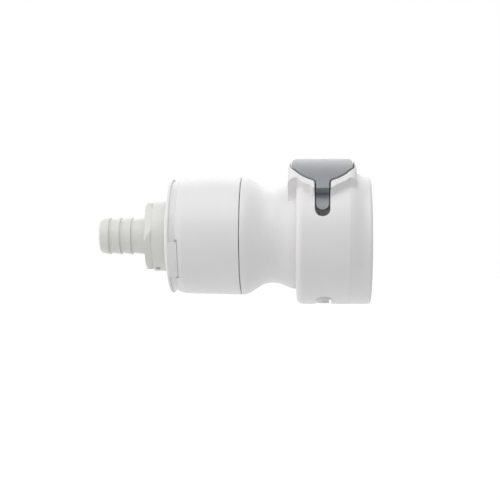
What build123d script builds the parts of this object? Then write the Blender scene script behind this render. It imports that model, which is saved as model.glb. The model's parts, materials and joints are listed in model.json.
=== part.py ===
"""Socket half of a plastic quick disconnect coupling, with a hose barb and a thumb latch.

Millimetres.  The flow runs along X: the socket that takes the insert opens towards +X and
the hose barb points towards -X.  +Z is up, to the latch button.  The origin is the centre
of the socket's mouth.
"""

import os
from math import asin, cos, degrees, hypot, pi, radians, sin, sqrt

from build123d import *

# ---------------------------------------------------------------- driving sizes

# Socket for the insert
socket_radius = 11.0
socket_depth = 21.0
mouth_chamfer = 0.4

# Ring at the mouth, set a little below the flow axis
ring_length = 6.3
ring_radius = 18.85
ring_drop = 1.4
ring_edge_round = 0.9
sweep_length = 5.0
sweep_steps = 5
sweep_lead = 0.85
sweep_overlap = 0.5
sweep_inset = 0.08

# Drum round the latch
drum_length = 15.6
drum_radius = 20.3
drum_rear_round = 1.9

# Waist between the drum and the seam
neck_length = 16.25
waist_setback = 7.1
waist_radius = 13.95
neck_root_radius = 15.75
neck_wall = 2.95

# Rear housing
seam_gap = 0.2
seam_edge_chamfer = 0.15
shell_length = 18.45
shell_front_radius = 17.55
shell_rear_radius = 17.2
shell_rear_taper = 0.4
shell_rear_taper_length = 2.0
shell_wall = 3.6
spigot_length = 4.75
spigot_wall = 2.4

# Bayonet cap
cap_groove_width = 1.8
cap_groove_depth = 0.9
cap_flange_thickness = 0.8
cap_flange_radius = 17.0
cap_lip_length = 1.0
cap_lip_wall = 1.4
cap_skirt_length = 2.15
lug_half_angle = 19.0
lug_centre_angle = 25.0
lug_thickness = 1.1
lug_notch_length = 0.75
lug_notch_margin = 2.5
cap_edge_chamfer = 0.4

# Hose barb fitting
shoulder_radius = 10.5
shoulder_length = 4.0
hex_thickness = 2.1
hex_half_across_flats = 9.8
hex_chamfer = 1.0
hose_bore_radius = 3.7
barb_root_radius = 5.02
barb_tooth_height = 0.48
barb_pitch = 3.33
barb_teeth = 3
barb_tip_length = 2.89
barb_tip_round = 0.5
shank_length = 4.75
shank_radius = 5.52
flange_thickness = 3.6
flow_funnel_radius = 8.0
flow_funnel_length = 7.6
key_notch_width = 1.6
key_notch_depth = 0.7
key_notch_length = 1.3
key_notch_angle = -114.0
key_notch_setback = 0.8
thrust_washer_thickness = 0.8

# Latch button: its outline from above is a bar with bowed ends and a tongue down each side
latch_setback = 14.3
latch_travel = 1.6
button_crown_radius = 23.0
button_end_round = 1.3
button_thickness = 2.4
button_edge_thickness = 0.8
button_half_length = 8.9
button_straight = 8.9
button_bow = 7.45
button_root_round = 1.3
tongue_width = 3.8
tongue_radius = 20.0
tongue_thickness = 2.3
tongue_lip_height = 13.65
tongue_step_height = 12.2
tongue_end_height = 7.5

# Raised seat round the button: its flanks are radial, and fillet into what they stand on
seat_half_length = 10.0
seat_radius = 22.85
seat_end_round = 2.4
seat_floor = 6.0
flank_end_angle = 47.0
flank_rear_angle = 42.0
flank_front_angle = 44.5
flank_root_angle = 39.5
flank_tongue_angle = 37.0
flank_root_half_length = 3.7
flank_tongue_half_length = 2.8
flank_round = 1.7
flank_neck_round = 1.5
flank_end_length = 0.9
flank_overlap = 0.25
flank_sink = 0.06  # the fillets end a little inside what they stand on

# Latch plate and its springs
plate_thickness = 2.0
plate_hole_radius = 11.4
plate_web = 2.8
plate_neck_width = 10.0
plate_foot_width = 14.0
plate_grip = 1.0
plate_lead_in = 0.5
latch_spring_spacing = 10.0
latch_spring_radius = 1.3
latch_spring_wire = 0.4
latch_spring_coils = 4

# Slot in the underside and the bar that closes it
window_width = 4.7
window_length = 19.6
window_depth = 4.4
window_offset = 0.5  # towards the mouth, from the latch plate
retainer_recess = 0.7
retainer_foot_height = 1.75
retainer_foot_width = 3.7
retainer_foot_offset = 0.15
retainer_foot_setback = 0.9
spring_cup_depth = 1.0

# Valve
nose_bore_length = 4.6
seat_width = 4.0
flow_gap = 1.3
poppet_head_thickness = 2.8
poppet_nose_rib = 2.2
poppet_nose_reach = 3.6
poppet_seal_stand = 0.32
poppet_stem_radius = 2.5
poppet_spigot_radius = 4.6
poppet_spigot_length = 1.6
poppet_stem_overhang = 0.6
valve_spring_wire = 1.1
valve_spring_coils = 6
guide_length = 7.4
guide_ring_wall = 1.4
guide_hub_length = 3.0
guide_hub_radius = 6.6
guide_rib = 1.8
guide_ribs = 4

# Seals
poppet_seal_section = 1.6
housing_seal_section = 1.6
fitting_seal_section = 1.8

# Clearances
fixed_fit = 0.1
stem_fit = 0.05
nose_clearance = 0.3
shoulder_clearance = 0.3
lug_clearance = 0.06
button_gap = 0.4
tongue_gap = 0.3
under_gap = 0.3
plate_gap = 0.15
spring_gap = 0.08
spring_side_gap = 0.3
spring_hole_gap = 0.25
seal_gap = 0.02
seat_gap = 0.1

# ---------------------------------------------------------------- places along X

x_ring = -ring_length
x_drum = x_ring - drum_length
x_waist = x_drum - waist_setback
x_seam = x_drum - neck_length
x_shell = x_seam - seam_gap
x_shell_end = x_shell - shell_length
x_flange_front = x_shell_end - cap_groove_width
x_cap_face = x_flange_front - cap_flange_thickness
x_cap_end = x_cap_face - cap_lip_length
x_hex = x_cap_end - shoulder_length
x_shank = x_hex - hex_thickness
x_teeth = x_shank - shank_length
x_barb_end = x_teeth - (barb_teeth - 1) * barb_pitch - barb_tip_length

x_skirt = x_shell_end + cap_skirt_length
x_washer = x_skirt + thrust_washer_thickness
x_fitting = x_washer + flange_thickness
x_guide = x_fitting + guide_length

x_socket_end = -socket_depth
x_seat = x_socket_end - nose_bore_length
x_pocket = x_seam + spigot_length
x_latch = -latch_setback
x_window = x_latch + window_offset
x_retainer_foot = x_latch + retainer_foot_offset

# ---------------------------------------------------------------- radii and heights that follow

chamber_radius = waist_radius - neck_wall
nose_bore_radius = chamber_radius - seat_width
spigot_radius = chamber_radius + spigot_wall
shell_bore_radius = shell_rear_radius - shell_wall
flange_radius = shell_bore_radius - fixed_fit
cap_hole_radius = shoulder_radius + shoulder_clearance
groove_radius = shell_rear_radius - cap_groove_depth
lug_notch_radius = shell_rear_radius - lug_thickness - fixed_fit
lug_angles = (180 + lug_centre_angle, lug_centre_angle)

plate_hole_lift = latch_travel
plate_outer_radius = plate_hole_radius + plate_web
plate_foot = plate_hole_lift - plate_outer_radius
plate_top = button_crown_radius - button_thickness + plate_grip
plate_slot_half = plate_thickness / 2 + plate_gap
# The button's underside is a flatter arc than its crown, so the plate thins towards its ends
button_reach = button_straight + button_bow
button_under_top = button_crown_radius - button_thickness
button_under_end = sqrt(button_crown_radius**2 - button_reach**2) - button_edge_thickness
button_under_drop = button_under_top - button_under_end
button_under_radius = (button_reach**2 + button_under_drop**2) / (2 * button_under_drop)
button_under_centre = button_under_top - button_under_radius
well_floor_centre = button_under_centre - latch_travel - under_gap
tongue_slot_floor_radius = tongue_radius - tongue_thickness - latch_travel - under_gap
tongue_slot_width = tongue_width + 2 * tongue_gap
tongue_slot_end = tongue_end_height - latch_travel - tongue_gap
window_ceiling = window_depth - drum_radius
spring_cup_floor = window_ceiling - spring_cup_depth
spring_hole_radius = latch_spring_radius + spring_hole_gap

beyond = 5.0  # how far a cutting shape reaches past the surface it opens
nearly = 0.01  # two places this close are the same place


# ---------------------------------------------------------------- helpers


def half_section(*points):
    """Closed outline in the XZ plane, from (x, radius) points, to be turned about X."""
    with BuildSketch(Plane.XZ) as section:
        with BuildLine():
            Polyline(*points, close=True)
        make_face()
    return section.sketch


def ring_section(x, radius, section):
    """Round section of an O-ring whose mean radius is given, to be turned about X."""
    with BuildSketch(Plane.XZ) as ring:
        with Locations((x, radius)):
            Circle(section / 2)
    return ring.sketch


def sector(x, inner_radius, outer_radius, centre_angle, half_angle):
    """Part of a flat ring across the axis at x.  Angles run from +Y towards +Z."""
    reach = 2 * outer_radius
    first, last = (radians(centre_angle + side * half_angle) for side in (-1, 1))
    with BuildSketch(Plane.YZ.offset(x)) as piece:
        Circle(outer_radius)
        Circle(inner_radius, mode=Mode.SUBTRACT)
        with BuildLine():
            Polyline(
                (0, 0),
                (reach * cos(first), reach * sin(first)),
                (reach * cos(last), reach * sin(last)),
                close=True,
            )
        make_face(mode=Mode.INTERSECT)
    return piece.sketch


def button_outline(margin):
    """The button from above, round the latch's centre, grown by a margin on every side."""
    with BuildSketch(Plane.XY) as outline:
        with Locations((x_latch, 0)):
            Rectangle(2 * (button_half_length + margin), 2 * button_straight)
        with Locations((x_latch, button_straight), (x_latch, -button_straight)):
            Ellipse(button_half_length + margin, button_bow + margin)
        with Locations((x_latch, 0)):
            Rectangle(tongue_width + 2 * margin, 2 * button_crown_radius)
        roots = outline.vertices().filter_by(
            lambda v: abs(abs(v.X - x_latch) - tongue_width / 2 - margin) < nearly
            and abs(v.Y) < button_crown_radius - nearly
        )
        fillet(roots, radius=button_root_round - margin)
    return outline.sketch


def upright_slot(width, end_height, top):
    """Slot in the XZ plane with a round lower end, centred on the latch."""
    with BuildSketch(Plane.XZ) as slot:
        with Locations((x_latch, end_height + width / 2)):
            Circle(width / 2)
        with Locations((x_latch, (end_height + width / 2 + top) / 2)):
            Rectangle(width, top - end_height - width / 2)
    return slot.sketch


def flank_section(x, base_radius, wall_angle, root_round):
    """What lies below a radial wall that fillets into a round base, at x, on the +Y side."""
    angle = radians(wall_angle)
    far = 3 * base_radius
    lean = asin(root_round / (base_radius + root_round))
    fillet_x = (base_radius + root_round) * cos(lean)
    towards = (-cos(lean), -1 - sin(lean))
    half_way = root_round / hypot(*towards)

    def at(along, below):
        return (
            along * cos(angle) + below * sin(angle),
            along * sin(angle) - below * cos(angle),
        )

    with BuildSketch(Plane.YZ.offset(x)) as flank:
        with BuildLine():
            ThreePointArc(
                at(fillet_x, 0),
                at(fillet_x + half_way * towards[0], root_round + half_way * towards[1]),
                at(base_radius * cos(lean), base_radius * sin(lean)),
            )
            Polyline(
                at(base_radius * cos(lean), base_radius * sin(lean)),
                at(0.8 * base_radius * cos(lean), 0.8 * base_radius * sin(lean)),
                at(base_radius / 2, far),
                at(far, far),
                at(far, 0),
                at(fillet_x, 0),
            )
        make_face()
    return flank.sketch


def sweep_circle(step):
    """Place, radius and drop of one circle on the sweep from the drum's face to the ring."""
    left = (1 + cos(pi * (step / sweep_steps) ** sweep_lead)) / 2
    radius = ring_radius + left * (drum_radius - sweep_inset - ring_radius)
    return x_ring + sweep_length * step / sweep_steps, radius, ring_drop * (1 - left)


def coil(start, axis, radius, wire, length, coils):
    """Open helical compression spring of round wire, starting at a point."""
    with BuildPart() as spring:
        with BuildLine() as path:
            Helix(length / coils, length, radius, center=start, direction=axis)
        with BuildSketch(Plane(origin=path.line @ 0, z_dir=path.line % 0)):
            Circle(wire / 2)
        sweep(path=path.line, is_frenet=True)
    return spring.part


def finish(builder, name):
    """Label a piece and write its file."""
    builder.part.label = name
    export_step(builder.part, f"parts/{name}.step")


os.makedirs("parts", exist_ok=True)

# ---------------------------------------------------------------- cutting shapes for the latch

# Well that the button sinks into: straight walls, and a floor that follows the drum
with BuildPart() as button_well:
    extrude(button_outline(button_gap), amount=button_crown_radius + beyond)
    with Locations((x_latch, 0, well_floor_centre)):
        Cylinder(
            button_under_radius,
            2 * (seat_half_length + beyond),
            rotation=(0, 90, 0),
            mode=Mode.SUBTRACT,
        )

# Slot down each side of the drum for the button's tongue
with BuildPart() as tongue_slots:
    extrude(
        upright_slot(tongue_slot_width, tongue_slot_end, button_crown_radius),
        amount=drum_radius + beyond,
        both=True,
    )
    with Locations((x_latch, 0, 0)):
        Cylinder(
            tongue_slot_floor_radius,
            tongue_slot_width + beyond,
            rotation=(0, 90, 0),
            mode=Mode.SUBTRACT,
        )

# Slot across the socket for the latch plate, with room for its travel
with BuildPart() as plate_slot:
    with BuildSketch(Plane.YZ.offset(x_latch)):
        slot_radius = plate_outer_radius + plate_gap
        with Locations((0, plate_hole_lift), (0, plate_hole_lift - latch_travel)):
            Circle(slot_radius)
        with Locations((0, plate_hole_lift - latch_travel / 2)):
            Rectangle(2 * slot_radius, latch_travel)
        with Locations((0, (plate_foot - latch_travel - plate_gap) / 2)):
            Rectangle(
                plate_foot_width + 2 * plate_gap, latch_travel + plate_gap - plate_foot
            )
        with Locations((0, button_crown_radius / 2)):
            Rectangle(plate_neck_width + 2 * plate_gap, button_crown_radius)
    extrude(amount=plate_slot_half, both=True)

# ---------------------------------------------------------------- coupling body

# Raised seat round the button.  Its flanks rise at the ends and dip beside the tongue.
x_neck_flank = x_drum + flank_overlap
x_ring_flank = x_ring - flank_overlap
rear_round_left = drum_rear_round - flank_overlap
drum_stations = (
    (
        x_neck_flank,
        drum_radius - drum_rear_round + sqrt(drum_rear_round**2 - rear_round_left**2),
        flank_end_angle,
    ),
    (x_drum + drum_rear_round, drum_radius, flank_rear_angle),
    (x_latch - flank_root_half_length, drum_radius, flank_root_angle),
    (x_latch - flank_tongue_half_length, drum_radius, flank_tongue_angle),
    (x_latch + flank_tongue_half_length, drum_radius, flank_tongue_angle),
    (x_latch + flank_root_half_length, drum_radius, flank_root_angle),
    (x_ring - flank_end_length, drum_radius, flank_front_angle),
    (x_ring_flank, drum_radius, flank_end_angle),
)
neck_stations = (
    (x_latch - seat_half_length - beyond, neck_root_radius, flank_end_angle),
    (x_neck_flank, neck_root_radius, flank_end_angle),
)
ring_stations = [(x_ring_flank, drum_radius, flank_end_angle)]
for x, radius, drop in (sweep_circle(step) for step in range(1, sweep_steps + 1)):
    ring_stations.append((x, radius - drop * sin(radians(flank_end_angle)), flank_end_angle))

with BuildPart() as button_seat:
    with BuildSketch(Plane.XZ) as seat_section:
        with Locations((x_latch, seat_radius / 2)):
            Rectangle(2 * seat_half_length, seat_radius)
        fillet(seat_section.vertices().group_by(Axis.Y)[-1], radius=seat_end_round)
    revolve(axis=Axis.X)
    with Locations((x_latch, 0, seat_floor)):
        Box(
            2 * (seat_half_length + beyond),
            2 * (seat_radius + beyond),
            seat_radius + beyond,
            align=(Align.CENTER, Align.CENTER, Align.MIN),
            mode=Mode.INTERSECT,
        )
    for stations, root_round in (
        (drum_stations, flank_round),
        (neck_stations, flank_neck_round),
        (ring_stations, flank_round),
    ):
        flank = loft(
            [
                flank_section(x, base_radius - flank_sink, wall_angle, root_round)
                for x, base_radius, wall_angle in stations
            ],
            ruled=True,
            mode=Mode.PRIVATE,
        )
        add(flank, mode=Mode.SUBTRACT)
        add(mirror(flank, about=Plane.XZ, mode=Mode.PRIVATE), mode=Mode.SUBTRACT)

# Hollow sweep from the drum's face down to the ring, whose centre lies lower
with BuildPart() as ring_sweep:
    for x, radius, drop in (
        (x_ring - sweep_overlap, drum_radius - sweep_inset, 0),
        *(sweep_circle(step) for step in range(sweep_steps + 1)),
    ):
        with BuildSketch(Plane.YZ.offset(x)):
            with Locations((0, -drop)):
                Circle(radius)
    loft()

with BuildPart() as coupling_body:
    # Waist
    with BuildSketch(Plane.XZ):
        with BuildLine():
            Polyline(
                (x_drum, 0),
                (x_seam, 0),
                (x_seam, shell_front_radius - seam_edge_chamfer),
                (x_seam + seam_edge_chamfer, shell_front_radius),
            )
            Bezier(
                (x_seam + seam_edge_chamfer, shell_front_radius),
                (x_seam + 0.38 * (x_waist - x_seam), shell_front_radius),
                (x_waist - 0.45 * (x_waist - x_seam), waist_radius),
                (x_waist, waist_radius),
            )
            Bezier(
                (x_waist, waist_radius),
                (x_waist + 0.4 * (x_drum - x_waist), waist_radius),
                (x_drum - 0.4 * (x_drum - x_waist), neck_root_radius),
                (x_drum, neck_root_radius),
            )
            Line((x_drum, neck_root_radius), (x_drum, 0))
        make_face()
    revolve(axis=Axis.X)
    # Drum
    with BuildSketch(Plane.XZ) as drum_section:
        with Locations(((x_drum + x_ring) / 2, drum_radius / 2)):
            Rectangle(drum_length, drum_radius)
        outer_corners = drum_section.vertices().group_by(Axis.Y)[-1].sort_by(Axis.X)
        fillet(outer_corners[0], radius=drum_rear_round)
    revolve(axis=Axis.X)
    # Ring at the mouth
    with BuildSketch(Plane.XZ) as ring_profile:
        with Locations(((x_ring + sweep_length) / 2, ring_radius / 2 - ring_drop)):
            Rectangle(-x_ring - sweep_length, ring_radius)
        fillet(
            ring_profile.vertices().group_by(Axis.Y)[-1].sort_by(Axis.X)[-1],
            radius=ring_edge_round,
        )
    revolve(axis=Axis((0, 0, -ring_drop), (1, 0, 0)))
    add(ring_sweep.part)
    add(button_seat.part)
    # Socket, nose bore, valve chamber and pocket for the rear housing's spigot
    mouth_radius = socket_radius + mouth_chamfer
    pocket_radius = spigot_radius + fixed_fit
    revolve(
        half_section(
            (beyond, 0),
            (beyond, mouth_radius + beyond),
            (0, mouth_radius),
            (-mouth_chamfer, socket_radius),
            (x_socket_end, socket_radius),
            (x_socket_end, nose_bore_radius),
            (x_seat, nose_bore_radius),
            (x_seat, chamber_radius),
            (x_pocket, chamber_radius),
            (x_pocket, pocket_radius),
            (x_seam - beyond, pocket_radius),
            (x_seam - beyond, 0),
        ),
        axis=Axis.X,
        mode=Mode.SUBTRACT,
    )
    add(button_well.part, mode=Mode.SUBTRACT)
    add(tongue_slots.part, mode=Mode.SUBTRACT)
    add(plate_slot.part, mode=Mode.SUBTRACT)
    # Slot in the underside, and the two holes from it to the plate's foot
    with BuildSketch(Plane.XY.offset(window_ceiling)):
        with Locations((x_window, 0)):
            SlotOverall(window_length, window_width, rotation=90)
    extrude(amount=-(window_depth + beyond), mode=Mode.SUBTRACT)
    with BuildSketch(Plane.XY.offset(window_ceiling)):
        with Locations((x_latch, latch_spring_spacing / 2), (x_latch, -latch_spring_spacing / 2)):
            Circle(spring_hole_radius)
    extrude(amount=plate_foot - window_ceiling + plate_gap, mode=Mode.SUBTRACT)

finish(coupling_body, "coupling_body")

# ---------------------------------------------------------------- rear housing

housing_seal_x = x_pocket - spigot_length / 2
housing_groove_half = housing_seal_section / 2 + fixed_fit
housing_groove_radius = pocket_radius - housing_seal_section - 2 * seal_gap

with BuildPart() as rear_housing:
    revolve(
        half_section(
            (x_pocket, chamber_radius),
            (x_pocket, spigot_radius),
            (housing_seal_x + housing_groove_half, spigot_radius),
            (housing_seal_x + housing_groove_half, housing_groove_radius),
            (housing_seal_x - housing_groove_half, housing_groove_radius),
            (housing_seal_x - housing_groove_half, spigot_radius),
            (x_shell, spigot_radius),
            (x_shell, shell_front_radius - seam_edge_chamfer),
            (x_shell - seam_edge_chamfer, shell_front_radius),
            (x_shell_end + shell_rear_taper_length, shell_rear_radius),
            (x_shell_end + seam_edge_chamfer, shell_rear_radius - shell_rear_taper),
            (x_shell_end, shell_rear_radius - shell_rear_taper - seam_edge_chamfer),
            (x_shell_end, shell_bore_radius),
            (x_guide + fixed_fit, shell_bore_radius),
            (x_guide + fixed_fit, chamber_radius),
        ),
        axis=Axis.X,
    )
    # Notches in the rear edge for the cap's lugs
    for lug_angle in lug_angles:
        notch = sector(
            x_shell_end,
            lug_notch_radius,
            shell_front_radius + beyond,
            lug_angle,
            lug_half_angle + lug_notch_margin,
        )
        extrude(notch, amount=lug_notch_length, mode=Mode.SUBTRACT)

finish(rear_housing, "rear_housing")

# ---------------------------------------------------------------- bayonet cap

skirt_radius = shell_bore_radius - fixed_fit
cap_lip_radius = cap_hole_radius + cap_lip_wall

with BuildPart() as bayonet_cap:
    revolve(
        half_section(
            (x_skirt, cap_hole_radius),
            (x_skirt, skirt_radius),
            (x_shell_end, skirt_radius),
            (x_shell_end, groove_radius),
            (x_flange_front, groove_radius),
            (x_flange_front, cap_flange_radius),
            (x_cap_face + cap_edge_chamfer, cap_flange_radius),
            (x_cap_face, cap_flange_radius - cap_edge_chamfer),
            (x_cap_face, cap_lip_radius),
            (x_cap_end + cap_edge_chamfer, cap_lip_radius),
            (x_cap_end, cap_lip_radius - cap_edge_chamfer),
            (x_cap_end, cap_hole_radius),
        ),
        axis=Axis.X,
    )
    for lug_angle in lug_angles:
        lug = sector(
            x_flange_front,
            lug_notch_radius + fixed_fit,
            cap_flange_radius,
            lug_angle,
            lug_half_angle,
        )
        extrude(lug, amount=cap_groove_width + lug_notch_length - lug_clearance)

finish(bayonet_cap, "bayonet_cap")

# ---------------------------------------------------------------- hose barb fitting

fitting_seal_x = (x_fitting + x_washer) / 2
fitting_groove_half = fitting_seal_section / 2 + fixed_fit
fitting_groove_radius = shell_bore_radius - fitting_seal_section - 2 * seal_gap
barb_edge_radius = barb_root_radius + barb_tooth_height
hex_corner_radius = hex_half_across_flats / cos(pi / 6)

tooth_points = []
for tooth in range(barb_teeth):
    edge_x = x_teeth - tooth * barb_pitch
    tooth_points += [(edge_x, barb_root_radius), (edge_x, barb_edge_radius)]

with BuildPart() as hex_flange:
    with BuildSketch(Plane.YZ.offset(x_shank)):
        RegularPolygon(hex_half_across_flats, 6, major_radius=False)
    extrude(amount=hex_thickness)
    revolve(
        half_section(
            (x_hex, 0),
            (x_hex, hex_corner_radius - hex_chamfer),
            (x_hex - hex_chamfer, hex_corner_radius),
            (x_shank + hex_chamfer, hex_corner_radius),
            (x_shank, hex_corner_radius - hex_chamfer),
            (x_shank, 0),
        ),
        axis=Axis.X,
        mode=Mode.INTERSECT,
    )

with BuildPart() as hose_barb_fitting:
    revolve(
        half_section(
            (x_fitting, 0),
            (x_fitting, flange_radius),
            (fitting_seal_x + fitting_groove_half, flange_radius),
            (fitting_seal_x + fitting_groove_half, fitting_groove_radius),
            (fitting_seal_x - fitting_groove_half, fitting_groove_radius),
            (fitting_seal_x - fitting_groove_half, flange_radius),
            (x_washer, flange_radius),
            (x_washer, shoulder_radius),
            (x_hex, shoulder_radius),
            (x_hex, shank_radius),
            (x_shank, shank_radius),
            *tooth_points,
            (x_barb_end + barb_tip_round, barb_root_radius),
            (x_barb_end, barb_root_radius - barb_tip_round),
            (x_barb_end, 0),
        ),
        axis=Axis.X,
    )
    add(hex_flange.part)
    revolve(
        half_section(
            (x_fitting + beyond, 0),
            (x_fitting + beyond, flow_funnel_radius),
            (x_fitting, flow_funnel_radius),
            (x_fitting - flow_funnel_length, hose_bore_radius),
            (x_barb_end - beyond, hose_bore_radius),
            (x_barb_end - beyond, 0),
        ),
        axis=Axis.X,
        mode=Mode.SUBTRACT,
    )
    key_notch = sector(
        x_hex + key_notch_setback,
        shoulder_radius - key_notch_depth,
        shoulder_radius + beyond,
        key_notch_angle,
        degrees(key_notch_width / 2 / shoulder_radius),
    )
    extrude(key_notch, amount=key_notch_length, mode=Mode.SUBTRACT)

finish(hose_barb_fitting, "hose_barb_fitting")

with BuildPart() as thrust_washer:
    revolve(
        half_section(
            (x_skirt, cap_hole_radius),
            (x_skirt, flange_radius),
            (x_washer, flange_radius),
            (x_washer, cap_hole_radius),
        ),
        axis=Axis.X,
    )

finish(thrust_washer, "thrust_washer")

# ---------------------------------------------------------------- latch plate

with BuildPart() as latch_plate:
    with BuildSketch(Plane.YZ.offset(x_latch)):
        with Locations((0, plate_hole_lift)):
            Circle(plate_outer_radius)
        with Locations((0, plate_foot)):
            Rectangle(plate_foot_width, 2 * plate_web, align=(Align.CENTER, Align.MIN))
        with Locations((0, plate_hole_lift)):
            Rectangle(
                plate_neck_width,
                plate_top - plate_hole_lift,
                align=(Align.CENTER, Align.MIN),
            )
            Circle(plate_hole_radius, mode=Mode.SUBTRACT)
    extrude(amount=plate_thickness / 2, both=True)
    hole_edges = latch_plate.edges().filter_by(
        lambda e: e.geom_type == GeomType.CIRCLE and abs(e.radius - plate_hole_radius) < nearly
    )
    chamfer(hole_edges.sort_by(Axis.X)[-1], length=plate_lead_in)

finish(latch_plate, "latch_plate")

# ---------------------------------------------------------------- release button

# Wings: a curved plate that follows the raised seat's rounded ends
with BuildPart() as button_wings:
    with BuildSketch(Plane.XZ) as crown_section:
        with Locations((x_latch, button_crown_radius / 2)):
            Rectangle(2 * button_half_length, button_crown_radius)
        fillet(crown_section.vertices().group_by(Axis.Y)[-1], radius=button_end_round)
    revolve(axis=Axis.X)
    with Locations((x_latch, 0, button_under_centre)):
        Cylinder(
            button_under_radius,
            2 * (seat_half_length + beyond),
            rotation=(0, 90, 0),
            mode=Mode.SUBTRACT,
        )
    extrude(button_outline(0), amount=button_crown_radius + beyond, mode=Mode.INTERSECT)
    with Locations((x_latch, 0, tongue_lip_height)):
        Box(
            2 * (seat_half_length + beyond),
            2 * (button_crown_radius + beyond),
            button_crown_radius,
            align=(Align.CENTER, Align.CENTER, Align.MIN),
            mode=Mode.INTERSECT,
        )

with BuildPart() as release_button:
    # Tongues
    with BuildSketch(Plane.YZ.offset(x_latch)):
        Circle(tongue_radius)
        Circle(tongue_radius - tongue_thickness, mode=Mode.SUBTRACT)
    extrude(amount=tongue_width / 2, both=True)
    extrude(
        upright_slot(tongue_width, tongue_end_height, button_crown_radius),
        amount=button_crown_radius,
        both=True,
        mode=Mode.INTERSECT,
    )
    # Lip above each tongue, with a sloping underside
    step_y = sqrt(tongue_radius**2 - tongue_step_height**2)
    lip_y = sqrt(button_crown_radius**2 - tongue_lip_height**2)
    slope = (tongue_lip_height - tongue_step_height) / (lip_y - step_y)
    past_y = lip_y + beyond
    past_z = tongue_lip_height + slope * beyond
    with BuildSketch(Plane.YZ.offset(x_latch)):
        Circle(button_crown_radius)
        Circle(tongue_radius - tongue_thickness, mode=Mode.SUBTRACT)
        with BuildLine():
            Polyline(
                (-past_y, past_z),
                (-step_y, tongue_step_height),
                (step_y, tongue_step_height),
                (past_y, past_z),
                (past_y, button_crown_radius + beyond),
                (-past_y, button_crown_radius + beyond),
                close=True,
            )
        make_face(mode=Mode.INTERSECT)
    extrude(amount=tongue_width / 2, both=True)
    add(button_wings.part)
    # Groove that grips the latch plate's neck
    with Locations((x_latch, 0, plate_top + fixed_fit)):
        Box(
            plate_thickness + 2 * fixed_fit,
            plate_neck_width + 2 * fixed_fit,
            button_crown_radius,
            align=(Align.CENTER, Align.CENTER, Align.MAX),
            mode=Mode.SUBTRACT,
        )

finish(release_button, "release_button")

# ---------------------------------------------------------------- latch springs and their bar

# The bar fills the window, and ends in a narrower flat foot set away from the mouth
with BuildPart() as spring_retainer:
    for x, width, end_margin, height in (
        (x_window, window_width - 2 * fixed_fit, fixed_fit, window_depth - retainer_foot_height),
        (
            x_retainer_foot,
            retainer_foot_width,
            retainer_foot_setback,
            window_depth - retainer_recess,
        ),
    ):
        with BuildSketch(Plane.XY.offset(window_ceiling)):
            with Locations((x, 0)):
                SlotOverall(window_length - 2 * end_margin, width, rotation=90)
        extrude(amount=-height)
    with BuildSketch(Plane.XY.offset(window_ceiling)):
        with Locations((x_latch, latch_spring_spacing / 2), (x_latch, -latch_spring_spacing / 2)):
            Circle(spring_hole_radius)
    extrude(amount=-spring_cup_depth, mode=Mode.SUBTRACT)

finish(spring_retainer, "spring_retainer")

latch_spring_start = spring_cup_floor + spring_gap + latch_spring_wire / 2
latch_spring_length = plate_foot - spring_gap - latch_spring_wire / 2 - latch_spring_start

for side, name in ((-1, "latch_spring_front"), (1, "latch_spring_back")):
    with BuildPart() as latch_spring:
        add(
            coil(
                (x_latch, side * latch_spring_spacing / 2, latch_spring_start),
                (0, 0, 1),
                latch_spring_radius - latch_spring_wire / 2,
                latch_spring_wire,
                latch_spring_length,
                latch_spring_coils,
            )
        )
    finish(latch_spring, name)

# ---------------------------------------------------------------- valve

poppet_radius = chamber_radius - flow_gap
poppet_seal_radius = (nose_bore_radius + poppet_radius) / 2
poppet_groove_half = poppet_seal_section / 2 + fixed_fit
x_head = x_seat - poppet_seal_stand - seat_gap
x_head_back = x_head - poppet_head_thickness
x_groove_floor = x_head + poppet_seal_stand - poppet_seal_section
x_stem_end = x_guide - guide_hub_length - poppet_stem_overhang
nose_radius = nose_bore_radius - nose_clearance

with BuildPart() as valve_poppet:
    with Locations((x_head + poppet_nose_reach / 2, 0, 0)):
        Box(poppet_nose_reach, poppet_nose_rib, 2 * nose_bore_radius)
        Box(poppet_nose_reach, 2 * nose_bore_radius, poppet_nose_rib)
        Cylinder(nose_radius, poppet_nose_reach, rotation=(0, 90, 0), mode=Mode.INTERSECT)
    revolve(
        half_section(
            (x_head, 0),
            (x_head, poppet_seal_radius - poppet_groove_half),
            (x_groove_floor, poppet_seal_radius - poppet_groove_half),
            (x_groove_floor, poppet_seal_radius + poppet_groove_half),
            (x_head, poppet_seal_radius + poppet_groove_half),
            (x_head, poppet_radius),
            (x_head_back, poppet_radius),
            (x_head_back, poppet_spigot_radius),
            (x_head_back - poppet_spigot_length, poppet_spigot_radius),
            (x_head_back - poppet_spigot_length, poppet_stem_radius),
            (x_stem_end, poppet_stem_radius),
            (x_stem_end, 0),
        ),
        axis=Axis.X,
    )

finish(valve_poppet, "valve_poppet")

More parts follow.
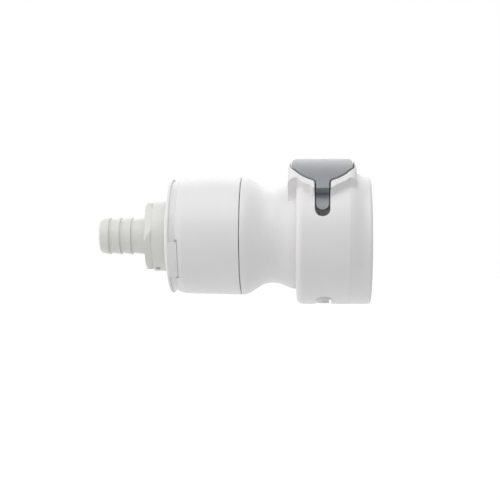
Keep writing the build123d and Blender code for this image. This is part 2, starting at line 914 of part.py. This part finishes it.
with BuildPart() as valve_guide:
    ring_outer = shell_bore_radius - fixed_fit
    ring_inner = ring_outer - guide_ring_wall
    revolve(
        half_section(
            (x_guide, ring_inner),
            (x_guide, ring_outer),
            (x_fitting, ring_outer),
            (x_fitting, ring_inner),
        ),
        axis=Axis.X,
    )
    with Locations((x_guide - guide_hub_length / 2, 0, 0)):
        Cylinder(guide_hub_radius, guide_hub_length, rotation=(0, 90, 0))
    for rib in range(guide_ribs):
        rib_plane = Plane.YZ.offset(x_guide - guide_hub_length).rotated((rib * 360 / guide_ribs, 0, 0))
        with BuildSketch(rib_plane):
            with Locations(((guide_hub_radius + ring_inner) / 2, 0)):
                Rectangle(ring_inner - guide_hub_radius + guide_ring_wall, guide_rib)
        extrude(amount=guide_hub_length)
    with Locations((x_guide, 0, 0)):
        Cylinder(
            poppet_spigot_radius,
            2 * poppet_spigot_length,
            rotation=(0, 90, 0),
        )
    with Locations((x_guide, 0, 0)):
        Cylinder(
            poppet_stem_radius + stem_fit,
            4 * guide_hub_length,
            rotation=(0, 90, 0),
            mode=Mode.SUBTRACT,
        )

finish(valve_guide, "valve_guide")

valve_spring_radius = poppet_spigot_radius + spring_side_gap + valve_spring_wire / 2
valve_spring_start = x_head_back - spring_gap - valve_spring_wire / 2
valve_spring_length = valve_spring_start - (x_guide + spring_gap + valve_spring_wire / 2)

with BuildPart() as valve_spring:
    add(
        coil(
            (valve_spring_start, 0, 0),
            (-1, 0, 0),
            valve_spring_radius,
            valve_spring_wire,
            valve_spring_length,
            valve_spring_coils,
        )
    )

finish(valve_spring, "valve_spring")

# ---------------------------------------------------------------- seals

with BuildPart() as poppet_seal:
    seal_x = x_groove_floor + poppet_seal_section / 2 + seal_gap
    revolve(ring_section(seal_x, poppet_seal_radius, poppet_seal_section), axis=Axis.X)

finish(poppet_seal, "poppet_seal")

with BuildPart() as housing_seal:
    seal_radius = pocket_radius - seal_gap - housing_seal_section / 2
    revolve(ring_section(housing_seal_x, seal_radius, housing_seal_section), axis=Axis.X)

finish(housing_seal, "housing_seal")

with BuildPart() as fitting_seal:
    seal_radius = shell_bore_radius - seal_gap - fitting_seal_section / 2
    revolve(ring_section(fitting_seal_x, seal_radius, fitting_seal_section), axis=Axis.X)

finish(fitting_seal, "fitting_seal")
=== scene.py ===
# %% [markdown]
# # A plastic quick disconnect coupling
# This lesson dresses a white moulded coupling: the half with the socket, the thumb latch and
# the hose barb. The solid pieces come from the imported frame, already in their places, in
# metres. Here they get their finishes, their light and the camera. The socket opens towards
# +X, the barb points towards -X, and +Z is up to the latch button.

# %% Load the frame
import json
import math

import bpy
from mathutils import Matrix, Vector


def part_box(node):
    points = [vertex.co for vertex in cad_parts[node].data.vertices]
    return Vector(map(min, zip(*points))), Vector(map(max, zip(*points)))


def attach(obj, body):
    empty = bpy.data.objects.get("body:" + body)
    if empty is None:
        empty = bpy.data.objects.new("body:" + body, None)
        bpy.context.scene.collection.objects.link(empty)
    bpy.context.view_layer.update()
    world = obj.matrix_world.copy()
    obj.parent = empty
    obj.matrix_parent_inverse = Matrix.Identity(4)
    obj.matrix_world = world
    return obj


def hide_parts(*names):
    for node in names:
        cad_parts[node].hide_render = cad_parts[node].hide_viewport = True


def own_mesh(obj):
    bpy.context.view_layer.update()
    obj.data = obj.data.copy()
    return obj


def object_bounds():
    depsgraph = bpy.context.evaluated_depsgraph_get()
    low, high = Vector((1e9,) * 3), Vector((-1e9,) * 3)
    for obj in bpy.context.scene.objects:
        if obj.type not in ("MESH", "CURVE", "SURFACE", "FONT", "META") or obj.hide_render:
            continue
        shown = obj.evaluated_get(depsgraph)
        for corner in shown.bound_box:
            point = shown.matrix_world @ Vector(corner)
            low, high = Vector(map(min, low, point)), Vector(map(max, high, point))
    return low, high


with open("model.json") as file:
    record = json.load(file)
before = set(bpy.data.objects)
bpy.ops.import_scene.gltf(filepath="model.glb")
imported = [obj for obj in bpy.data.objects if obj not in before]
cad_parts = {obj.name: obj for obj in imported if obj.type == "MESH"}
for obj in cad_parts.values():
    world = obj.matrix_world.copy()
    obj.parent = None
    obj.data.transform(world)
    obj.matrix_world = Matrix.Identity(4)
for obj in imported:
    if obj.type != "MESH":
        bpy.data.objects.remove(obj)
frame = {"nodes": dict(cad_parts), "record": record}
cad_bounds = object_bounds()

MM = 0.001
print("nodes:", sorted(frame["nodes"]))

# %% [markdown]
# ## Picture settings
# The Standard view transform shows a colour about as it is written, which suits a plain
# catalogue picture on white. Nothing else in the view settings is changed.

# %% Set the view transform
bpy.context.scene.view_settings.view_transform = "Standard"
print("view transform:", bpy.context.scene.view_settings.view_transform)

# %% [markdown]
# ## The camera
# A catalogue picture of a coupling is taken level with its flow axis and square to it, from a
# few hand spans away. The camera stands opposite the latch, so the socket end is seen square
# on and the barb end slightly from the right. The lens comes from the width of the picture at
# the axis: a frame 150 mm wide seen from 354 mm away needs an 85 mm lens on a 36 mm sensor.

# %% Place the camera
camera_stand = Vector((-17.0, -354.0, 0.0)) * MM
picture_middle = Vector((-35.9, 0.0, -4.18)) * MM
picture_width = 150 * MM
sensor_width = 36.0

camera_data = bpy.data.cameras.new("catalogue_camera")
camera = bpy.data.objects.new("catalogue_camera", camera_data)
bpy.context.scene.collection.objects.link(camera)
sight_line = picture_middle - camera_stand
camera.location = camera_stand
camera.rotation_euler = sight_line.to_track_quat("-Z", "Y").to_euler()
camera_data.sensor_width = sensor_width
camera_data.lens = sensor_width * sight_line.length / picture_width
camera_data.clip_start = 10 * MM
camera_data.clip_end = 10.0
bpy.context.scene.camera = camera
print("lens:", round(camera_data.lens, 1), "mm")

# %% [markdown]
# ## Small helpers for node materials
# Every finish below is a Principled shader with a few nodes in front of it. These helpers add
# a node, and wire a fine moulded or brushed surface, so that each finish stays short. All the
# patterns read Object coordinates, which are metres on the piece itself.

# %% Helpers for materials
noise_low, noise_high = 0.3, 0.7  # where nearly all of a noise texture's values lie
ramp_low, ramp_high = 0.35, 0.65  # a narrower band, so that clouds reach both colours
edge_samples = 6


def new_material(name):
    """A node material with its Principled shader, its node tree and its object coordinates."""
    material = bpy.data.materials.new(name)
    material.use_nodes = True
    tree = material.node_tree
    shader = tree.nodes["Principled BSDF"]
    place = tree.nodes.new("ShaderNodeTexCoord")
    return material, tree, shader, place.outputs["Object"]


def noise(tree, place, scale, detail=3.0, stretch=(1.0, 1.0, 1.0)):
    """Soft noise with a size in blotches per metre, drawn out along the stretched axes."""
    mapping = tree.nodes.new("ShaderNodeMapping")
    mapping.inputs["Scale"].default_value = stretch
    tree.links.new(place, mapping.inputs["Vector"])
    texture = tree.nodes.new("ShaderNodeTexNoise")
    texture.inputs["Scale"].default_value = scale
    texture.inputs["Detail"].default_value = detail
    tree.links.new(mapping.outputs["Vector"], texture.inputs["Vector"])
    return texture.outputs["Fac"]


def ramp(tree, value, low, high):
    """Turns a noise value into a colour between two colours."""
    node = tree.nodes.new("ShaderNodeValToRGB")
    node.color_ramp.elements[0].position = ramp_low
    node.color_ramp.elements[1].position = ramp_high
    node.color_ramp.elements[0].color = (*low, 1.0)
    node.color_ramp.elements[1].color = (*high, 1.0)
    tree.links.new(value, node.inputs["Fac"])
    return node.outputs["Color"]


def spread(tree, value, low, high):
    """Turns a noise value into a number between two numbers."""
    node = tree.nodes.new("ShaderNodeMapRange")
    node.inputs["From Min"].default_value = noise_low
    node.inputs["From Max"].default_value = noise_high
    node.inputs["To Min"].default_value = low
    node.inputs["To Max"].default_value = high
    tree.links.new(value, node.inputs["Value"])
    return node.outputs["Result"]


def relief(tree, shader, value, height, edge_radius):
    """Raises the surface a little by a noise value, and rounds the moulding's sharp edges."""
    edge = tree.nodes.new("ShaderNodeBevel")
    edge.samples = edge_samples
    edge.inputs["Radius"].default_value = edge_radius
    bump = tree.nodes.new("ShaderNodeBump")
    bump.inputs["Distance"].default_value = height
    tree.links.new(value, bump.inputs["Height"])
    tree.links.new(edge.outputs["Normal"], bump.inputs["Normal"])
    tree.links.new(bump.outputs["Normal"], shader.inputs["Normal"])


# %% [markdown]
# ## Moulded plastic
# The body, the rear housing and the cap are injection moulded in an opaque white plastic. A
# moulding is never one flat colour: it has faint clouds where the melt flowed, a roughness
# that changes slightly, and the fine grain of the mould's steel. Its edges are never sharp.
# One function makes all the plastics, because they differ only in colour and gloss. The grey
# button is polished, so it has a clear coat, which brightens where it curves out of sight.

# %% Make the plastics
# Patterns are in blotches per metre.
cloud_scale = 90.0
wear_scale = 420.0
grain_scale = 2600.0
gloss_swing = 0.04
plastic_edge = 0.25 * MM
plastic_ior = 1.5
coat_roughness = 0.45


def moulded_plastic(name, colour, cloud, roughness, grain_height, coat=0.0):
    """Opaque moulded plastic: clouds of colour, a fine grain and softened edges."""
    material, tree, shader, place = new_material(name)
    clouds = noise(tree, place, cloud_scale)
    darker = tuple(channel * (1.0 - cloud) for channel in colour)
    tree.links.new(ramp(tree, clouds, darker, colour), shader.inputs["Base Color"])
    wear = noise(tree, place, wear_scale)
    gloss = spread(tree, wear, roughness - gloss_swing, roughness + gloss_swing)
    tree.links.new(gloss, shader.inputs["Roughness"])
    grain = noise(tree, place, grain_scale, detail=2.0)
    relief(tree, shader, grain, grain_height, plastic_edge)
    shader.inputs["IOR"].default_value = plastic_ior
    shader.inputs["Coat Weight"].default_value = coat
    shader.inputs["Coat Roughness"].default_value = coat_roughness
    return material


white_plastic = moulded_plastic(
    "white_plastic", (0.84, 0.83, 0.83), cloud=0.02, roughness=0.42, grain_height=0.006 * MM
)
ivory_plastic = moulded_plastic(
    "ivory_plastic", (0.74, 0.74, 0.71), cloud=0.02, roughness=0.4, grain_height=0.006 * MM
)
natural_plastic = moulded_plastic(
    "natural_plastic", (0.85, 0.85, 0.85), cloud=0.03, roughness=0.35, grain_height=0.004 * MM
)
grey_plastic = moulded_plastic(
    "grey_plastic",
    (0.19, 0.202, 0.222),
    cloud=0.05,
    roughness=0.45,
    grain_height=0.005 * MM,
    coat=0.8,
)
print("plastics made")

# %% [markdown]
# ## Steel and rubber
# The latch plate is stamped from stainless sheet and brushed along Z, so its noise is drawn
# out that way. The springs are drawn wire. The O-rings are matt black rubber with a faint
# bloom, which is a slightly lighter cloud.

# %% Make the metals and the rubber
scratch_scale = 900.0
scratch_shade = 0.9
scratch_depth = 0.003 * MM
scratch_gloss_swing = 0.06
bloom_scale = 500.0
bloom_height = 0.004 * MM
rubber_dark = (0.018, 0.018, 0.019)
rubber_bloom = (0.03, 0.03, 0.031)
rubber_smooth, rubber_rough = 0.6, 0.75
fine_edge = 0.1 * MM


def steel(name, colour, roughness, stretch):
    """Bare steel with fine scratches drawn out along one axis."""
    material, tree, shader, place = new_material(name)
    shader.inputs["Metallic"].default_value = 1.0
    scratches = noise(tree, place, scratch_scale, stretch=stretch)
    darker = tuple(channel * scratch_shade for channel in colour)
    tree.links.new(ramp(tree, scratches, darker, colour), shader.inputs["Base Color"])
    low_gloss, high_gloss = roughness - scratch_gloss_swing, roughness + scratch_gloss_swing
    gloss = spread(tree, scratches, low_gloss, high_gloss)
    tree.links.new(gloss, shader.inputs["Roughness"])
    relief(tree, shader, scratches, scratch_depth, fine_edge)
    return material


def rubber(name):
    """Matt black rubber with a faint bloom."""
    material, tree, shader, place = new_material(name)
    bloom = noise(tree, place, bloom_scale)
    tree.links.new(ramp(tree, bloom, rubber_dark, rubber_bloom), shader.inputs["Base Color"])
    gloss = spread(tree, bloom, rubber_smooth, rubber_rough)
    tree.links.new(gloss, shader.inputs["Roughness"])
    relief(tree, shader, bloom, bloom_height, fine_edge)
    return material


stainless_steel = steel("stainless_steel", (0.62, 0.62, 0.63), 0.3, (1.0, 1.0, 0.05))
spring_steel = steel("spring_steel", (0.55, 0.55, 0.56), 0.25, (0.3, 1.0, 1.0))
black_rubber = rubber("black_rubber")
print("metals and rubber made")

# %% [markdown]
# ## Dress the solid pieces
# The record says which finish each piece has. Each solid's material slots are filled with the
# finish of that name, and its shape stays as it was made.

# %% Give each solid its finish
finishes = {
    "white_plastic": white_plastic,
    "ivory_plastic": ivory_plastic,
    "natural_plastic": natural_plastic,
    "grey_plastic": grey_plastic,
    "stainless_steel": stainless_steel,
    "spring_steel": spring_steel,
    "black_rubber": black_rubber,
}
for subpart in frame["record"]["subparts"]:
    solid = frame["nodes"][subpart["node"]]
    for slot in solid.material_slots:
        slot.material = finishes[subpart["material_slot"]]
    print(subpart["node"], "->", subpart["material_slot"])

# %% [markdown]
# ## Wound springs
# In the real coupling the valve's spring shortens as the valve opens, and the two under the
# latch as the button is pressed. Here each is made again from one small ring, the wire's
# section, which a Screw modifier winds along the spring's axis. The wound spring hangs on the
# housing at the length of the solid it replaces and does not shorten.

# %% Wind the springs
wire_sides = 12
steps_per_turn = 24
smooth_angle = math.radians(40)


def wound_spring(node, joint, wire, turns):
    """A coil spring in place of a solid one, along the solid's longer straight axis."""
    low, high = (Vector(corner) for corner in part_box(node))
    middle = (low + high) / 2
    along_x = joint == "valve_open"
    turn = (0.0, 0.0, 0.0) if along_x else (math.pi / 2, 0.0, 0.0)
    length = (high.x - low.x) if along_x else (high.z - low.z)
    out = (high.y - low.y - wire) / 2

    # The wire's section, a ring beside the axis.
    bpy.ops.object.select_all(action="DESELECT")
    bpy.ops.mesh.primitive_circle_add(vertices=wire_sides, radius=wire / 2, rotation=turn)
    spring = bpy.context.object
    spring.name = node + "_wound"
    bpy.ops.object.transform_apply(location=False, rotation=True, scale=False)
    bpy.ops.object.mode_set(mode="EDIT")
    bpy.ops.mesh.select_all(action="SELECT")
    bpy.ops.transform.translate(value=(0.0, out, 0.0) if along_x else (out, 0.0, 0.0))
    bpy.ops.object.mode_set(mode="OBJECT")

    # The winding, with its two ends closed.
    winding = spring.modifiers.new("winding", "SCREW")
    winding.axis = "X" if along_x else "Z"
    winding.angle = 2 * math.pi * turns
    winding.screw_offset = length - wire
    winding.steps = winding.render_steps = steps_per_turn * turns
    bpy.ops.object.modifier_apply(modifier="winding")
    bpy.ops.object.mode_set(mode="EDIT")
    bpy.ops.mesh.select_all(action="SELECT")
    bpy.ops.mesh.fill_holes(sides=0)
    bpy.ops.mesh.select_all(action="SELECT")
    bpy.ops.mesh.normals_make_consistent(inside=False)
    bpy.ops.object.mode_set(mode="OBJECT")

    # Its place, which goes into the mesh.
    if along_x:
        spring.location = (low.x + wire / 2, middle.y, middle.z)
    else:
        spring.location = (middle.x, middle.y, low.z + wire / 2)
    bpy.ops.object.transform_apply(location=True, rotation=False, scale=False)
    bpy.ops.object.shade_smooth_by_angle(angle=smooth_angle)
    spring.data.materials.append(spring_steel)
    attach(spring, "housing")
    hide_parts(node)
    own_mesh(spring)
    return spring


# Solid, joint, the joint's travel, the wire's thickness and the number of turns.
springs = (
    ("valve_spring", "valve_open", 4.0 * MM, 1.1 * MM, 6),
    ("latch_spring_front", "release_press", 1.6 * MM, 0.4 * MM, 4),
    ("latch_spring_back", "release_press", 1.6 * MM, 0.4 * MM, 4),
)
for node, joint, travel, wire, turns in springs:
    spring = wound_spring(node, joint, wire, turns)
    print(spring.name, "with", len(spring.data.polygons), "faces")

# %% [markdown]
# ## The floor
# The coupling is shown held in the air, as on a hose, well above a plain pale floor. The
# floor is lit like anything else and keeps the shadow. For the eye and for reflections it
# also glows by what the lamps leave short of white: a little near the coupling, so that the
# soft shadow under it still shows, and more further out, where the lamps fade, so that the
# floor runs into the white behind it with no horizon.

# %% Lay the floor
floor_height = -110 * MM
floor_size = 6.0
floor_white = 0.94
floor_roughness = 0.9
full_white = (1.0, 1.0, 1.0, 1.0)
# The glow grows from the first strength to the second between these two distances, in metres.
glow_near, glow_far = 0.19, 0.82
glow_near_reach, glow_far_reach = 0.04, 0.58


def larger(tree, first, second):
    """The larger of two numbers."""
    node = tree.nodes.new("ShaderNodeMath")
    node.operation = "MAXIMUM"
    tree.links.new(first, node.inputs[0])
    tree.links.new(second, node.inputs[1])
    return node.outputs["Value"]


def seen_or_mirrored(tree):
    """1 where the eye, a reflection or clear glass shows the surface, 0 where it only lights."""
    path = tree.nodes.new("ShaderNodeLightPath").outputs
    seen = larger(tree, path["Is Camera Ray"], path["Is Glossy Ray"])
    return larger(tree, seen, path["Is Transmission Ray"])


bpy.ops.object.select_all(action="DESELECT")
bpy.ops.mesh.primitive_plane_add(size=floor_size, location=(0, 0, floor_height))
floor = bpy.context.object
floor.name = "studio_floor"
floor_finish = bpy.data.materials.new("studio_floor")
floor_finish.use_nodes = True
floor_tree = floor_finish.node_tree
paint = floor_tree.nodes["Principled BSDF"]
paint.inputs["Base Color"].default_value = (floor_white, floor_white, floor_white, 1.0)
paint.inputs["Roughness"].default_value = floor_roughness
floor_place = floor_tree.nodes.new("ShaderNodeTexCoord")
reach = floor_tree.nodes.new("ShaderNodeVectorMath")
reach.operation = "LENGTH"
floor_tree.links.new(floor_place.outputs["Object"], reach.inputs[0])
glow_strength = floor_tree.nodes.new("ShaderNodeMapRange")
glow_strength.inputs["From Min"].default_value = glow_near_reach
glow_strength.inputs["From Max"].default_value = glow_far_reach
glow_strength.inputs["To Min"].default_value = glow_near
glow_strength.inputs["To Max"].default_value = glow_far
floor_tree.links.new(reach.outputs["Value"], glow_strength.inputs["Value"])
top_up = floor_tree.nodes.new("ShaderNodeMath")
top_up.operation = "MULTIPLY"
floor_tree.links.new(glow_strength.outputs["Result"], top_up.inputs[1])
floor_tree.links.new(seen_or_mirrored(floor_tree), top_up.inputs[0])
glow = floor_tree.nodes.new("ShaderNodeEmission")
glow.inputs["Color"].default_value = full_white
floor_tree.links.new(top_up.outputs["Value"], glow.inputs["Strength"])
both = floor_tree.nodes.new("ShaderNodeAddShader")
floor_tree.links.new(paint.outputs["BSDF"], both.inputs[0])
floor_tree.links.new(glow.outputs["Emission"], both.inputs[1])
floor_surface = floor_tree.nodes["Material Output"].inputs["Surface"]
floor_tree.links.new(both.outputs["Shader"], floor_surface)
floor.data.materials.append(floor_finish)
print("floor at", floor_height, "m")

# %% [markdown]
# ## The tent
# The coupling stands in a white tent: the world is white to the eye and in reflections, and a
# good deal darker as a source of light, so that white plastic stays below full white.

# %% Light the tent
tent_strength = 0.17

world = bpy.data.worlds.new("white_tent")
bpy.context.scene.world = world
world.use_nodes = True
world_tree = world.node_tree
tent = world_tree.nodes["Background"]
tent.inputs["Color"].default_value = full_white
strength = world_tree.nodes.new("ShaderNodeMapRange")
strength.inputs["To Min"].default_value = tent_strength
strength.inputs["To Max"].default_value = 1.0
world_tree.links.new(seen_or_mirrored(world_tree), strength.inputs["Value"])
world_tree.links.new(strength.outputs["Result"], tent.inputs["Strength"])
print("tent lit at", tent_strength)

# %% [markdown]
# ## The lamps
# Four wide lamps give most of the light. One overhead and a little in front makes the bright
# tops and shaded undersides, one on the left, a little above the coupling, lights the faces
# turned that way, and a weaker one stands high on the right. The fourth, behind, keeps the far
# side from falling dark and draws a light edge along the top.

# %% Place the lamps
def soft_lamp(name, stand, target, size, power):
    """A square area lamp that looks from one place to another."""
    lamp_data = bpy.data.lights.new(name, "AREA")
    lamp_data.size = size
    lamp_data.energy = power
    lamp = bpy.data.objects.new(name, lamp_data)
    lamp.location = stand
    lamp.rotation_euler = (target - stand).to_track_quat("-Z", "Y").to_euler()
    bpy.context.scene.collection.objects.link(lamp)


coupling_middle = (Vector(cad_bounds[0]) + Vector(cad_bounds[1])) / 2
# Name, place and size in metres, and power in watts.
lamps = (
    ("overhead_panel", (0.0, -0.3, 0.5), 0.6, 2.2),
    ("left_lamp", (-0.55, -0.1, 0.22), 0.5, 1.5),
    ("right_lamp", (0.4, 0.0, 0.5), 0.5, 0.45),
    ("back_lamp", (0.0, 0.42, 0.42), 0.5, 0.7),
)
for name, stand, size, power in lamps:
    soft_lamp(name, Vector(stand), coupling_middle, size, power)
    print(name, "at", power, "W")
